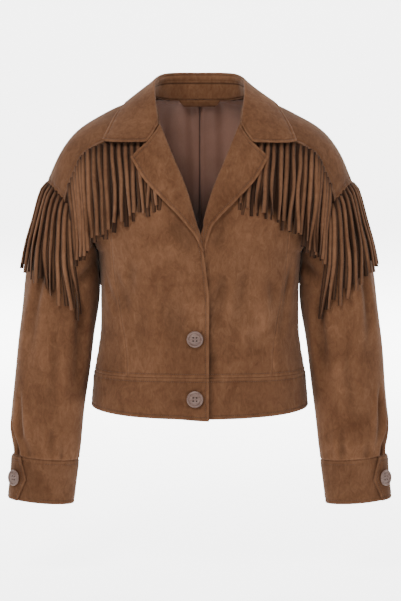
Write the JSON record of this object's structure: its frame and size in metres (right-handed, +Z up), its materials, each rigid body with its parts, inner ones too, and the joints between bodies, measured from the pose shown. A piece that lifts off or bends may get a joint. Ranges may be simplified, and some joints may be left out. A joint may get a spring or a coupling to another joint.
{
  "type": "fringed western jacket",
  "caption": "Cropped suede jacket with notched lapels, long fringe on the chest and sleeves, a hem band and buttoned cuffs, filled out as if worn.",
  "frame": {"origin": "middle of the neck base, level with the two points where the neck seam meets the shoulders", "axes": "+Z up, the front of the jacket faces -Y, +X towards the wearer's left"},
  "size_m": [0.6468, 0.2543, 0.713],
  "materials": {
    "suede": "matt suede with a short mottled nap",
    "lining": "smooth satin",
    "button": "satin, moulded, horn brown"
  },
  "bodies": {
    "root": {"front_left": "suede", "front_right": "suede", "side_front_left": "suede", "side_front_right": "suede", "yoke_left": "suede", "yoke_right": "suede", "hem_band_front_left": "suede", "hem_band_front_right": "suede", "sleeve_left": "suede", "sleeve_right": "suede", "cuff_left": "suede", "cuff_right": "suede", "lapel_left": "suede", "lapel_right": "suede", "fringe_yoke_left": "suede", "fringe_yoke_right": "suede", "fringe_sleeve_left": "suede", "fringe_sleeve_right": "suede", "back": "suede", "hem_band_back": "suede", "collar": "suede", "collar_stand": "suede", "neck_tab": "suede", "back_lining": "lining", "button_waist": "button", "button_hem": "button", "button_cuff_left": "button", "button_cuff_right": "button"}
  },
  "joints": []
}
